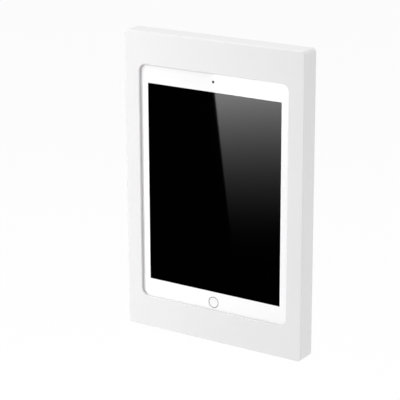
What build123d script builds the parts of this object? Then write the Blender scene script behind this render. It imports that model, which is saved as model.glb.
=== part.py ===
"""Wall mount for a portrait tablet: a folded steel wall plate, four moulded corner holders, the tablet
that rests in them, and a lacquered aluminium cover with a window, held on by magnets.

Seen from the room, +X is right and +Z is up, and +Y points into the wall. The origin is the middle of the
wall plate's back face. Each depth below is a distance from the wall towards the room, along -Y.
"""

from build123d import *
import os

os.makedirs("parts", exist_ok=True)

# Tablet outline and layers
screen_width = 147.8
screen_height = 197.1
side_border = 10.85
end_border = 21.45
tablet_thickness = 7.5
tablet_corner_radius = 11.0
tablet_back_chamfer = 2.2
shell_side_wall = 3.4
shell_back_wall = 1.0
shell_rim = 1.2
glass_proud = 0.3
glass_fit = 0.1
glass_thickness = 1.0
mask_thickness = 0.2
panel_thickness = 2.0
panel_border = 2.0
panel_fit = 0.05

# Tablet buttons, camera and sockets, placed from its edges
home_hole_diameter = 11.4
home_ring_diameter = 11.0
home_cap_diameter = 10.1
home_part_fit = 0.02
home_centre_from_end = 10.7
home_cap_recess = 0.1
home_cap_thickness = 1.5
home_dish_width = 9.2
home_dish_depth = 0.12
home_flange_width = 0.6
home_flange_thickness = 0.25
button_travel = 0.3
button_running_gap = 0.1
button_proud = 0.4
button_length = 10.0
button_height = 2.2
button_slot_fit = 0.15
button_collar_side = 0.8
button_collar_thickness = 0.8
power_from_side = 30.75
volume_up_from_top = 36.0
volume_button_pitch = 14.0
front_camera_from_top = 11.7
front_camera_side = 4.0
front_camera_hole = 2.6
front_camera_length = 2.6
rear_camera_from_edges = 16.0
rear_camera_diameter = 9.0
rear_camera_length = 4.0
rear_camera_proud = 0.6
jack_from_side = 30.75
jack_bore_diameter = 3.5
jack_body_width = 6.4
jack_body_height = 4.9
jack_length = 10.0
inlet_fit = 0.05
blind_end = 1.0
cut_through = 1.0
socket_width = 8.6
socket_height = 2.8
socket_wall = 0.3
socket_length = 3.3
speaker_slot_length = 21.0
speaker_slot_width = 1.6
speaker_centre_from_middle = 26.0
speaker_box_height = 11.0
speaker_box_margin = 1.4
speaker_box_thickness = 3.2

# Battery cells and circuit board inside the tablet
battery_width = 66.0
battery_height = 118.0
battery_thickness = 3.0
battery_gap = 4.0
battery_drop = 14.0
board_height = 26.0
board_thickness = 0.8
board_overhang = 5.0
board_jack_gap = 0.6
board_camera_gap = 5.0
shield_thickness = 1.4
shield_margin = 3.0
home_switch_side = 5.0

# Cover
side_margin = 14.25
end_margin = 28.5
cover_wall = 2.5
cover_front_thickness = 2.1
cover_corner_radius = 4.0
cover_front_edge_radius = 1.3
shadow_gap = 0.5
side_overlap = 2.5
end_overlap = 3.25
window_corner_radius = 7.5
window_edge_chamfer = 0.4
gasket_thickness = 0.5
gasket_width = 1.8
gasket_setback = 0.5
gasket_gap = 0.3
smallest_radius = 0.5

# Magnets, their bosses and the cover's inner ribs
magnet_length = 20.0
magnet_width = 8.0
magnet_thickness = 3.0
magnet_fit = 0.05
magnet_gap = 0.3
magnet_proud = 0.2
magnet_inset = 24.0
boss_wall = 2.0
rib_thickness = 1.6
rib_height = 3.2
rib_tablet_gap = 1.2
rib_end_gap = 8.0
web_thickness = 2.0

# Wall plate
plate_thickness = 2.0
plate_clearance = 0.5
flange_height = 10.0
flange_corner_gap = 14.0
bend_inner_radius = 1.0
bend_run_in = 1.0
relief_width = 2.0
plate_corner_chamfer = 3.0
wall_hole_diameter = 5.5
wall_hole_spacing = 100.0
tie_slot_length = 9.0
tie_slot_width = 3.2
tie_bridge = 8.0
tie_from_opening = 14.0
cable_opening_width = 44.0
cable_opening_height = 60.0
cable_opening_radius = 6.0
grommet_wall = 1.5
grommet_lip_width = 2.5
grommet_lip_thickness = 1.2
grommet_fit = 0.1

# Corner holders, their pads and screws
cable_space = 6.6
pad_thickness = 1.5
pad_width = 5.0
pad_edge_margin = 0.7
pad_seat_margin = 0.6
holder_clearance = 0.3
holder_wall = 2.2
holder_reach = 22.0
holder_foot_reach = 26.0
holder_foot_thickness = 2.5
holder_foot_corner = 6.0
holder_corner_cut = 5.0
holder_lip_drop = 2.0
lug_inward = 8.0
lug_side = 4.0
lug_fit = 0.1
lug_tip_clearance = 0.4
screw_inward = 18.0
screw_shank_diameter = 3.0
screw_tapped_fit = 0.05
screw_through_fit = 0.2
screw_head_diameter = 5.6
screw_head_height = 2.0
screw_socket_width = 2.0
screw_socket_depth = 1.1
screw_tip_clearance = 0.4

# Sizes worked out from the driving ones; a corner cut at 45 degrees that touches a round one of radius 1
octagon_cut = 2 - 2**0.5
tablet_width = screen_width + 2 * side_border
tablet_height = screen_height + 2 * end_border
half_tablet_width = tablet_width / 2
half_tablet_height = tablet_height / 2
cover_width = tablet_width + 2 * side_margin
cover_height = tablet_height + 2 * end_margin
window_width = tablet_width - 2 * side_overlap
window_height = tablet_height - 2 * end_overlap
inner_width = cover_width - 2 * cover_wall
inner_height = cover_height - 2 * cover_wall
inner_corner_cut = octagon_cut * max(cover_corner_radius - cover_wall, smallest_radius)
plate_width = inner_width - 2 * plate_clearance
plate_height = inner_height - 2 * plate_clearance
bend_outer_radius = bend_inner_radius + plate_thickness
bend_reach = bend_outer_radius + bend_run_in

# Depths from the wall, back to front
seat_depth = plate_thickness + cable_space
tablet_back = seat_depth + pad_thickness
tablet_front = tablet_back + tablet_thickness
shell_front = tablet_front - glass_proud
shell_floor = tablet_back + shell_back_wall
glass_back = tablet_front - glass_thickness
mask_back = glass_back - mask_thickness
panel_back = mask_back - panel_thickness
button_depth = (tablet_back + tablet_front) / 2
gasket_front = tablet_front + gasket_gap + gasket_thickness
cover_front = gasket_front + cover_front_thickness
cover_depth = cover_front - shadow_gap
magnet_face = plate_thickness + magnet_gap
boss_end = magnet_face + magnet_proud
web_start = flange_height + plate_clearance
holder_top = tablet_front - holder_lip_drop
foot_top = plate_thickness + holder_foot_thickness

# The lane between the tablet's short edge and the folded flange, where magnets and wall screws sit
holder_outside = holder_clearance + holder_wall
lane_low = half_tablet_height + holder_outside
lane_high = plate_height / 2 - plate_thickness
lane_middle = (lane_low + lane_high) / 2
magnet_x = cover_width / 2 - magnet_inset
magnet_places = [(x, z) for x in (-magnet_x, magnet_x) for z in (-lane_middle, lane_middle)]
wall_hole_places = [
    (x, z) for x in (-wall_hole_spacing / 2, wall_hole_spacing / 2) for z in (-lane_middle, lane_middle)
]

pad_edge = tablet_back_chamfer + pad_edge_margin
seat_band = pad_edge + pad_width + pad_seat_margin

# Places of the tablet's own parts
home_z = home_centre_from_end - half_tablet_height
front_camera_z = half_tablet_height - front_camera_from_top
rear_camera_x = half_tablet_width - rear_camera_from_edges
rear_camera_z = half_tablet_height - rear_camera_from_edges
power_x = half_tablet_width - power_from_side
jack_x = jack_from_side - half_tablet_width
volume_up_z = half_tablet_height - volume_up_from_top
volume_down_z = volume_up_z - volume_button_pitch
cavity_half_width = half_tablet_width - shell_side_wall
cavity_half_height = half_tablet_height - shell_side_wall
home_cap_back = tablet_front - home_cap_recess - home_cap_thickness
home_switch_front = home_cap_back - button_travel - button_running_gap
board_left = jack_x - board_overhang
board_right = rear_camera_x - rear_camera_diameter / 2 - board_camera_gap
board_width = board_right - board_left
board_x = (board_left + board_right) / 2
board_z = cavity_half_height - jack_length - board_jack_gap - board_height / 2


def at_depth(depth):
    """Plane parallel to the wall, at a depth towards the room; its x is +X and its y is +Z."""
    return Plane.XZ.offset(depth)


def at_corners(inward):
    """Four points inward of the tablet's corners by one amount in x and z. The last is the top right one."""
    x = half_tablet_width - inward
    z = half_tablet_height - inward
    return [(-x, -z), (-x, z), (x, -z), (x, z)]


def tablet_outline(growth, mode=Mode.ADD):
    """Rounded outline of the tablet, grown or shrunk by the same amount on every side."""
    RectangleRounded(
        tablet_width + 2 * growth,
        tablet_height + 2 * growth,
        max(tablet_corner_radius + growth, smallest_radius),
        mode=mode,
    )


def window_outline(growth, mode=Mode.ADD):
    """Rounded outline of the cover's window, grown by the same amount on every side."""
    RectangleRounded(
        window_width + 2 * growth, window_height + 2 * growth, window_corner_radius + growth, mode=mode
    )


# Cover frame: one cast and machined shell, open at the back, with a window in its front
with BuildPart() as cover_frame:
    with BuildSketch(at_depth(shadow_gap)):
        RectangleRounded(cover_width, cover_height, cover_corner_radius)
    extrude(amount=cover_depth)
    fillet(cover_frame.faces().sort_by(Axis.Y)[0].edges(), cover_front_edge_radius)
    with BuildSketch(at_depth(shadow_gap)) as hollow:
        Rectangle(inner_width, inner_height)
        chamfer(hollow.vertices(), inner_corner_cut)
    extrude(amount=gasket_front - shadow_gap, mode=Mode.SUBTRACT)
    with BuildSketch(at_depth(gasket_front)):
        window_outline(0)
    extrude(amount=cover_front_thickness, mode=Mode.SUBTRACT)
    chamfer(cover_frame.faces().sort_by(Axis.Y)[0].inner_wires()[0].edges(), window_edge_chamfer)
    # bosses that reach back to the steel plate, each with a pocket for its magnet
    with BuildSketch(at_depth(boss_end)):
        with Locations(*magnet_places):
            Rectangle(magnet_length + 2 * boss_wall, magnet_width + 2 * boss_wall)
    extrude(amount=gasket_front - boss_end)
    # a web from each boss to the end wall beside it, which starts in front of the plate's folded edge
    with BuildSketch(at_depth(web_start)):
        for x, z in magnet_places:
            toward_end = 1 if z > 0 else -1
            web_length = inner_height / 2 - abs(z)
            with Locations((x, z + toward_end * web_length / 2)):
                Rectangle(web_thickness, web_length)
    extrude(amount=gasket_front - web_start)
    # ribs that guide the cover over the tablet's edges
    rib_centre_x = half_tablet_width + rib_tablet_gap + rib_thickness / 2
    rib_centre_z = half_tablet_height + rib_tablet_gap + rib_thickness / 2
    with BuildSketch(at_depth(gasket_front - rib_height)):
        with Locations((-rib_centre_x, 0), (rib_centre_x, 0)):
            Rectangle(rib_thickness, tablet_height - 2 * (holder_reach + rib_end_gap))
        with Locations((0, -rib_centre_z), (0, rib_centre_z)):
            Rectangle(tablet_width - 2 * (holder_reach + rib_end_gap), rib_thickness)
    extrude(amount=rib_height)
    with BuildSketch(at_depth(boss_end)):
        with Locations(*magnet_places):
            Rectangle(magnet_length + 2 * magnet_fit, magnet_width + 2 * magnet_fit)
    extrude(amount=magnet_thickness - magnet_proud, mode=Mode.SUBTRACT)
cover_frame.part.label = "cover_frame"
export_step(cover_frame.part, "parts/cover_frame.step")

# Foam ring behind the window's edge, which meets the glass when the cover is on
with BuildPart() as window_gasket:
    with BuildSketch(at_depth(gasket_front - gasket_thickness)):
        window_outline(gasket_setback + gasket_width)
        window_outline(gasket_setback, mode=Mode.SUBTRACT)
    extrude(amount=gasket_thickness)
window_gasket.part.label = "window_gasket"
export_step(window_gasket.part, "parts/window_gasket.step")

# Block magnets, glued into the bosses a little proud of them
for x, z in magnet_places:
    end_name = "top" if z > 0 else "bottom"
    side_name = "right" if x > 0 else "left"
    with BuildPart() as magnet:
        with BuildSketch(at_depth(magnet_face)):
            with Locations((x, z)):
                Rectangle(magnet_length, magnet_width)
        extrude(amount=magnet_thickness)
    magnet.part.label = f"magnet_{end_name}_{side_name}"
    export_step(magnet.part, f"parts/{magnet.part.label}.step")


def folded_edge(half_span):
    """Corners of one folded edge's section, whose outer face is half_span from the plate's middle."""
    inner_face = half_span - plate_thickness
    start = half_span - bend_reach
    return [
        (half_span, 0),
        (half_span, -flange_height),
        (inner_face, -flange_height),
        (inner_face, -plate_thickness),
        (start, -plate_thickness),
        (start, 0),
    ]


# Wall plate: flat sheet with four folded edges, open at the corners, and its holes
side_flange_length = plate_height - 2 * flange_corner_gap
end_flange_length = plate_width - 2 * flange_corner_gap
with BuildPart() as wall_plate:
    side_strip_x = (plate_width - bend_reach) / 2
    end_strip_z = (plate_height - bend_reach) / 2
    with BuildSketch(at_depth(0)) as blank:
        Rectangle(plate_width, plate_height)
        chamfer(blank.vertices(), plate_corner_chamfer)
        with Locations((-side_strip_x, 0), (side_strip_x, 0)):
            Rectangle(bend_reach, side_flange_length + 2 * relief_width, mode=Mode.SUBTRACT)
        with Locations((0, -end_strip_z), (0, end_strip_z)):
            Rectangle(end_flange_length + 2 * relief_width, bend_reach, mode=Mode.SUBTRACT)
    extrude(amount=plate_thickness)
    edge_sets = (
        (Plane.XY, plate_width / 2, side_flange_length),
        (Plane(origin=(0, 0, 0), x_dir=(0, 0, 1), z_dir=(-1, 0, 0)), plate_height / 2, end_flange_length),
    )
    for section_plane, half_span, flange_length in edge_sets:
        with BuildSketch(section_plane) as edge_section:
            Polygon(*folded_edge(half_span), align=None)
            outer_bend = edge_section.vertices().sort_by_distance((half_span, 0))[0]
            fillet(outer_bend, bend_outer_radius)
            inner_corner = (half_span - plate_thickness, -plate_thickness)
            inner_bend = edge_section.vertices().sort_by_distance(inner_corner)[0]
            fillet(inner_bend, bend_inner_radius)
            mirror(about=Plane.YZ)
        extrude(amount=flange_length / 2, both=True)
    with BuildSketch(at_depth(0)):
        RectangleRounded(cable_opening_width, cable_opening_height, cable_opening_radius)
        with Locations(*wall_hole_places):
            Circle(wall_hole_diameter / 2)
        with GridLocations(tie_bridge, cable_opening_height + 2 * tie_from_opening, 2, 2):
            Rectangle(tie_slot_width, tie_slot_length)
        with Locations(*at_corners(lug_inward)):
            Rectangle(lug_side + 2 * lug_fit, lug_side + 2 * lug_fit)
        with Locations(*at_corners(screw_inward)):
            Circle(screw_shank_diameter / 2 + screw_tapped_fit)
    extrude(amount=plate_thickness, mode=Mode.SUBTRACT)
wall_plate.part.label = "wall_plate"
export_step(wall_plate.part, "parts/wall_plate.step")

# Rubber liner over the sheet's cut edge where the charging cable comes out of the wall
with BuildPart() as cable_grommet:
    clear_width = cable_opening_width - 2 * (grommet_fit + grommet_wall)
    clear_height = cable_opening_height - 2 * (grommet_fit + grommet_wall)
    clear_radius = cable_opening_radius - grommet_fit - grommet_wall
    with BuildSketch(at_depth(0)):
        RectangleRounded(
            cable_opening_width - 2 * grommet_fit,
            cable_opening_height - 2 * grommet_fit,
            cable_opening_radius - grommet_fit,
        )
    extrude(amount=plate_thickness)
    with BuildSketch(at_depth(plate_thickness)) as lip:
        Rectangle(cable_opening_width + 2 * grommet_lip_width, cable_opening_height + 2 * grommet_lip_width)
        chamfer(lip.vertices(), octagon_cut * (cable_opening_radius + grommet_lip_width))
    extrude(amount=grommet_lip_thickness)
    with BuildSketch(at_depth(0)):
        RectangleRounded(clear_width, clear_height, clear_radius)
    extrude(amount=plate_thickness + grommet_lip_thickness, mode=Mode.SUBTRACT)
cable_grommet.part.label = "cable_grommet"
export_step(cable_grommet.part, "parts/cable_grommet.step")


def corner_square(reach):
    """Square at the tablet's top right corner, which reaches inwards from the tablet's edges by reach."""
    side = reach + holder_outside
    centre_x = half_tablet_width + holder_outside - side / 2
    centre_z = half_tablet_height + holder_outside - side / 2
    with Locations((centre_x, centre_z)):
        Rectangle(side, side)


def export_at_corners(top_right, kind):
    """Write a top right corner piece and its three mirrored copies, named by their corners."""
    top_left = mirror(top_right, about=Plane.YZ)
    copies = {
        "top_right": top_right,
        "top_left": top_left,
        "bottom_right": mirror(top_right, about=Plane.XY),
        "bottom_left": mirror(top_left, about=Plane.XY),
    }
    for corner, piece in copies.items():
        piece.label = f"{kind}_{corner}"
        export_step(piece, f"parts/{piece.label}.step")


# Corner holder: a foot screwed to the plate, a raised seat under the tablet and a wall round its corner
with BuildPart() as corner_holder:
    with BuildSketch(at_depth(plate_thickness)) as foot:
        corner_square(holder_foot_reach)
        chamfer(foot.vertices().sort_by_distance((0, 0))[0], holder_foot_corner)
    extrude(amount=holder_foot_thickness)
    with BuildSketch(at_depth(plate_thickness)):
        corner_square(holder_reach)
        Rectangle(tablet_width - 2 * seat_band, tablet_height - 2 * seat_band, mode=Mode.SUBTRACT)
    extrude(amount=cable_space)
    with BuildSketch(at_depth(plate_thickness)):
        corner_square(holder_reach)
        tablet_outline(holder_clearance, mode=Mode.SUBTRACT)
    extrude(amount=holder_top - plate_thickness)
    outside_edge = corner_holder.edges().filter_by(Axis.Y).sort_by_distance((0, 0, 0))[-1]
    chamfer(outside_edge, holder_corner_cut)
    with BuildSketch(at_depth(plate_thickness)):
        with Locations(at_corners(screw_inward)[-1]):
            Circle(screw_shank_diameter / 2 + screw_through_fit)
    extrude(amount=holder_foot_thickness, mode=Mode.SUBTRACT)
    # square lug in the plate's hole, which keeps the holder from turning about its screw
    with BuildSketch(at_depth(lug_tip_clearance)):
        with Locations(at_corners(lug_inward)[-1]):
            Rectangle(lug_side, lug_side)
    extrude(amount=plate_thickness - lug_tip_clearance)
export_at_corners(corner_holder.part, "corner_holder")

# Rubber pads stuck on the holders' seats, which the tablet's flat back rests on
with BuildPart() as holder_pad:
    pad_inside = pad_edge + pad_width
    with BuildSketch(at_depth(seat_depth)) as pad:
        corner_square(holder_reach - pad_seat_margin)
        Rectangle(tablet_width - 2 * pad_edge, tablet_height - 2 * pad_edge, mode=Mode.INTERSECT)
        chamfer(pad.vertices().sort_by_distance((0, 0))[-1], octagon_cut * (tablet_corner_radius - pad_edge))
        Rectangle(tablet_width - 2 * pad_inside, tablet_height - 2 * pad_inside, mode=Mode.SUBTRACT)
    extrude(amount=pad_thickness)
export_at_corners(holder_pad.part, "holder_pad")

# Pan head screws with a hexagon socket, one for each holder
with BuildPart() as holder_screws:
    with BuildSketch(at_depth(foot_top)):
        with Locations(*at_corners(screw_inward)):
            Circle(screw_head_diameter / 2)
    extrude(amount=screw_head_height)
    with BuildSketch(at_depth(screw_tip_clearance)):
        with Locations(*at_corners(screw_inward)):
            Circle(screw_shank_diameter / 2)
    extrude(amount=foot_top - screw_tip_clearance)
    with BuildSketch(at_depth(foot_top + screw_head_height - screw_socket_depth)):
        with Locations(*at_corners(screw_inward)):
            RegularPolygon(screw_socket_width / 2, 6, major_radius=False)
    extrude(amount=screw_socket_depth, mode=Mode.SUBTRACT)
holder_screws.part.label = "holder_screws"
export_step(holder_screws.part, "parts/holder_screws.step")

# Planes at the inside of the shell's side walls, for what passes through them
top_wall = Plane(origin=(0, 0, cavity_half_height), x_dir=(1, 0, 0), z_dir=(0, 0, 1))
bottom_wall = Plane(origin=(0, 0, -cavity_half_height), x_dir=(-1, 0, 0), z_dir=(0, 0, -1))
right_wall = Plane(origin=(cavity_half_width, 0, 0), x_dir=(0, 0, -1), z_dir=(1, 0, 0))

# Tablet shell: a machined tray with a sloping back edge, a ledge for the glass and its side openings
with BuildPart() as tablet_shell:
    with BuildSketch(at_depth(tablet_back)):
        tablet_outline(0)
    extrude(amount=shell_front - tablet_back)
    chamfer(tablet_shell.faces().sort_by(Axis.Y)[-1].edges(), tablet_back_chamfer)
    with BuildSketch(at_depth(shell_floor)) as cavity:
        Rectangle(2 * cavity_half_width, 2 * cavity_half_height)
        chamfer(cavity.vertices(), octagon_cut * (tablet_corner_radius - shell_side_wall))
    extrude(amount=mask_back - shell_floor, mode=Mode.SUBTRACT)
    with BuildSketch(at_depth(mask_back)):
        tablet_outline(-shell_rim)
    extrude(amount=shell_front - mask_back, mode=Mode.SUBTRACT)
    with BuildSketch(top_wall):
        with Locations((power_x, -button_depth)):
            Rectangle(button_length + 2 * button_slot_fit, button_height + 2 * button_slot_fit)
        with Locations((jack_x, -button_depth)):
            Circle(jack_bore_diameter / 2)
    extrude(amount=shell_side_wall + cut_through, mode=Mode.SUBTRACT)
    with BuildSketch(right_wall):
        with Locations((-volume_up_z, -button_depth), (-volume_down_z, -button_depth)):
            Rectangle(button_length + 2 * button_slot_fit, button_height + 2 * button_slot_fit)
    extrude(amount=shell_side_wall + cut_through, mode=Mode.SUBTRACT)
    with BuildSketch(bottom_wall):
        with Locations((0, -button_depth)):
            SlotOverall(socket_width, socket_height)
        for side in (-1, 1):
            with Locations((side * speaker_centre_from_middle, -button_depth)):
                Rectangle(speaker_slot_length, speaker_slot_width)
    extrude(amount=shell_side_wall + cut_through, mode=Mode.SUBTRACT)
    with BuildSketch(at_depth(tablet_back)):
        with Locations((rear_camera_x, rear_camera_z)):
            Circle(rear_camera_diameter / 2 + inlet_fit)
    extrude(amount=shell_back_wall, mode=Mode.SUBTRACT)
tablet_shell.part.label = "tablet_shell"
export_step(tablet_shell.part, "parts/tablet_shell.step")

# Cover glass, a little proud of the shell's rim, with the home button's hole
with BuildPart() as tablet_glass:
    with BuildSketch(at_depth(glass_back)):
        tablet_outline(-shell_rim - glass_fit)
    extrude(amount=glass_thickness)
    with BuildSketch(at_depth(glass_back)):
        with Locations((0, home_z)):
            Circle(home_hole_diameter / 2)
    extrude(amount=glass_thickness, mode=Mode.SUBTRACT)
tablet_glass.part.label = "tablet_glass"
export_step(tablet_glass.part, "parts/tablet_glass.step")

# White printed border behind the glass, open over the lit area, the home button and the camera
with BuildPart() as bezel_mask:
    with BuildSketch(at_depth(mask_back)):
        tablet_outline(-shell_rim - glass_fit)
        Rectangle(screen_width, screen_height, mode=Mode.SUBTRACT)
        with Locations((0, home_z)):
            Circle(home_hole_diameter / 2, mode=Mode.SUBTRACT)
        with Locations((0, front_camera_z)):
            Circle(front_camera_hole / 2, mode=Mode.SUBTRACT)
    extrude(amount=mask_thickness)
bezel_mask.part.label = "bezel_mask"
export_step(bezel_mask.part, "parts/bezel_mask.step")

# Display panel: its lit area stands forward through the printed border to the glass
with BuildPart() as display_panel:
    with BuildSketch(at_depth(panel_back)):
        Rectangle(screen_width + 2 * panel_border, screen_height + 2 * panel_border)
    extrude(amount=panel_thickness)
    with BuildSketch(at_depth(mask_back)):
        Rectangle(screen_width - 2 * panel_fit, screen_height - 2 * panel_fit)
    extrude(amount=mask_thickness)
display_panel.part.label = "display_panel"
export_step(display_panel.part, "parts/display_panel.step")

# Home button: a dished cap with a square flange behind the glass, a metal ring on it and the switch below
with BuildPart() as home_button:
    with BuildSketch(at_depth(home_cap_back)):
        with Locations((0, home_z)):
            Rectangle(home_hole_diameter + 2 * home_flange_width, home_hole_diameter + 2 * home_flange_width)
    extrude(amount=home_flange_thickness)
    with BuildSketch(at_depth(home_cap_back)):
        with Locations((0, home_z)):
            Circle(home_cap_diameter / 2)
    extrude(amount=home_cap_thickness)
    dish_radius = ((home_dish_width / 2) ** 2 + home_dish_depth**2) / (2 * home_dish_depth)
    dish_centre = home_cap_back + home_cap_thickness - home_dish_depth + dish_radius
    with Locations((0, -dish_centre, home_z)):
        Sphere(dish_radius, mode=Mode.SUBTRACT)
home_button.part.label = "home_button"
export_step(home_button.part, "parts/home_button.step")

with BuildPart() as home_button_ring:
    with BuildSketch(at_depth(home_cap_back + home_flange_thickness)):
        with Locations((0, home_z)):
            Circle(home_ring_diameter / 2)
            Circle(home_cap_diameter / 2 + home_part_fit, mode=Mode.SUBTRACT)
    extrude(amount=home_cap_recess + home_cap_thickness - home_flange_thickness)
home_button_ring.part.label = "home_button_ring"
export_step(home_button_ring.part, "parts/home_button_ring.step")

with BuildPart() as home_switch:
    with BuildSketch(at_depth(shell_floor)):
        with Locations((0, home_z)):
            Rectangle(home_switch_side, home_switch_side)
    extrude(amount=home_switch_front - shell_floor)
home_switch.part.label = "home_switch"
export_step(home_switch.part, "parts/home_switch.step")

# Side buttons: a cap through the wall and a collar that keeps it inside the shell
button_places = {
    "power_button": (top_wall, power_x),
    "volume_up_button": (right_wall, -volume_up_z),
    "volume_down_button": (right_wall, -volume_down_z),
}
for node, (wall_plane, along) in button_places.items():
    collar_plane = wall_plane.offset(-button_running_gap - button_collar_thickness)
    with BuildPart() as side_button:
        with BuildSketch(collar_plane):
            with Locations((along, -button_depth)):
                Rectangle(button_length + 2 * button_collar_side, button_height + 2 * button_collar_side)
        extrude(amount=button_collar_thickness)
        with BuildSketch(collar_plane):
            with Locations((along, -button_depth)):
                Rectangle(button_length, button_height)
        cap_length = button_collar_thickness + button_running_gap + shell_side_wall + button_proud
        extrude(amount=cap_length)
    side_button.part.label = node
    export_step(side_button.part, f"parts/{node}.step")

# Cameras: a square module behind the border's small hole, and a round one that stands out of the back
with BuildPart() as front_camera:
    with BuildSketch(at_depth(mask_back - front_camera_length)):
        with Locations((0, front_camera_z)):
            Rectangle(front_camera_side, front_camera_side)
    extrude(amount=front_camera_length)
front_camera.part.label = "front_camera"
export_step(front_camera.part, "parts/front_camera.step")

with BuildPart() as rear_camera:
    with BuildSketch(at_depth(tablet_back - rear_camera_proud)):
        with Locations((rear_camera_x, rear_camera_z)):
            Circle(rear_camera_diameter / 2)
    extrude(amount=rear_camera_length)
rear_camera.part.label = "rear_camera"
export_step(rear_camera.part, "parts/rear_camera.step")

# Sockets behind the openings in the shell's short edges, both blind at their inner ends
with BuildPart() as charging_socket:
    socket_plane = bottom_wall.offset(-socket_length)
    with BuildSketch(socket_plane):
        with Locations((0, -button_depth)):
            Rectangle(socket_width + 2 * socket_wall, socket_height + 2 * socket_wall)
    extrude(amount=socket_length)
    with BuildSketch(socket_plane.offset(blind_end)):
        with Locations((0, -button_depth)):
            SlotOverall(socket_width, socket_height)
    extrude(amount=socket_length - blind_end, mode=Mode.SUBTRACT)
charging_socket.part.label = "charging_socket"
export_step(charging_socket.part, "parts/charging_socket.step")

with BuildPart() as headphone_jack:
    jack_plane = top_wall.offset(-jack_length)
    with BuildSketch(jack_plane):
        with Locations((jack_x, -button_depth)):
            Rectangle(jack_body_width, jack_body_height)
    extrude(amount=jack_length)
    with BuildSketch(jack_plane.offset(blind_end)):
        with Locations((jack_x, -button_depth)):
            Circle(jack_bore_diameter / 2)
    extrude(amount=jack_length - blind_end, mode=Mode.SUBTRACT)
headphone_jack.part.label = "headphone_jack"
export_step(headphone_jack.part, "parts/headphone_jack.step")

# Speakers behind their slots, and battery cells, all glued to the shell's floor
speaker_box_width = speaker_slot_length + 2 * speaker_box_margin
speaker_z = speaker_box_height / 2 - cavity_half_height
cell_x = (battery_gap + battery_width) / 2
for side_name, side in (("left", -1), ("right", 1)):
    with BuildPart() as speaker:
        with BuildSketch(at_depth(shell_floor)):
            with Locations((side * speaker_centre_from_middle, speaker_z)):
                Rectangle(speaker_box_width, speaker_box_height)
        extrude(amount=speaker_box_thickness)
    speaker.part.label = f"speaker_{side_name}"
    export_step(speaker.part, f"parts/{speaker.part.label}.step")

    with BuildPart() as battery_cell:
        with BuildSketch(at_depth(shell_floor)):
            with Locations((side * cell_x, -battery_drop)):
                Rectangle(battery_width, battery_height)
        extrude(amount=battery_thickness)
    battery_cell.part.label = f"battery_cell_{side_name}"
    export_step(battery_cell.part, f"parts/{battery_cell.part.label}.step")

# Circuit board across the top and the pressed can that shields it
with BuildPart() as logic_board:
    with BuildSketch(at_depth(shell_floor)):
        with Locations((board_x, board_z)):
            Rectangle(board_width, board_height)
    extrude(amount=board_thickness)
logic_board.part.label = "logic_board"
export_step(logic_board.part, "parts/logic_board.step")

with BuildPart() as board_shield:
    with BuildSketch(at_depth(shell_floor + board_thickness)):
        with Locations((board_x, board_z)):
            Rectangle(board_width - 2 * shield_margin, board_height - 2 * shield_margin)
    extrude(amount=shield_thickness)
board_shield.part.label = "board_shield"
export_step(board_shield.part, "parts/board_shield.step")
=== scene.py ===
"""Looks of the tablet wall mount: finishes for its solids, finer small pieces, and the studio.

Every length is in metres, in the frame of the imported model: +X right, +Y into the wall, +Z up.
Sizes whose names end in mm are millimetres, the unit of the shaders' patterns.
"""

import logging
import math
from dataclasses import dataclass
from enum import Enum
from itertools import cycle
from typing import Any

import bmesh
import bpy
from bmesh.types import BMesh
from bpy.types import Material, Node, NodeSocket, NodeTree
from mathutils import Matrix, Vector


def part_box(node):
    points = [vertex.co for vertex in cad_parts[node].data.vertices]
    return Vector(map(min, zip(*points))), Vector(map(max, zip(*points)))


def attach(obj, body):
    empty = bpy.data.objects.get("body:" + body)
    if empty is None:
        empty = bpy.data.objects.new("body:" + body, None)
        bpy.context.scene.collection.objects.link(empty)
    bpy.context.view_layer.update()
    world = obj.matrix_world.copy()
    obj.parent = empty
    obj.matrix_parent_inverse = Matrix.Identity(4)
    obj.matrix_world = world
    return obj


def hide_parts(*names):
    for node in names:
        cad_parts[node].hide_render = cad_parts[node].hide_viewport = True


Point = tuple[float, float, float]

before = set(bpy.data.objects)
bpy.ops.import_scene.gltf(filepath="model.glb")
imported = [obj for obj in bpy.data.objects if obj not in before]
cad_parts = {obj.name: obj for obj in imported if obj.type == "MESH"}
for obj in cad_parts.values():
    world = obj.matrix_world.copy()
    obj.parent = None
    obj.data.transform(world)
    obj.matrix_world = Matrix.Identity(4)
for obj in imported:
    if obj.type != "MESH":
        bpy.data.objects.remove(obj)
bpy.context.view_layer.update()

logging.basicConfig(level=logging.INFO, format="%(message)s")
log = logging.getLogger("tablet_wall_mount")

MM = 0.001
EDGE_SAMPLES = 4
# Points closer than this, in metres, are one point
WELD = 1e-7
# Edges blunter than this, in degrees, look smooth
SMOOTH_BELOW = 30.0
# Steps in which a rounded edge and a rounded corner turn by a right angle
EDGE_STEPS = 3
CORNER_STEPS = 6
# Blender's wave texture turns by this many radians for each unit of length
WAVE_RADIANS = 20.0


def linear(colour: str) -> tuple[float, float, float, float]:
    """Turns an sRGB hex colour into linear RGBA.

    Args:
        colour: Six hex digits after a hash, such as "#EBEBEA".

    Returns:
        Red, green, blue and an alpha of 1, all linear.
    """
    levels = [int(colour[start : start + 2], 16) / 255 for start in (1, 3, 5)]
    # The sRGB curve is a straight line near black and a power above it
    red, green, blue = (v / 12.92 if v <= 0.04045 else ((v + 0.055) / 1.055) ** 2.4 for v in levels)
    return red, green, blue, 1.0


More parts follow.
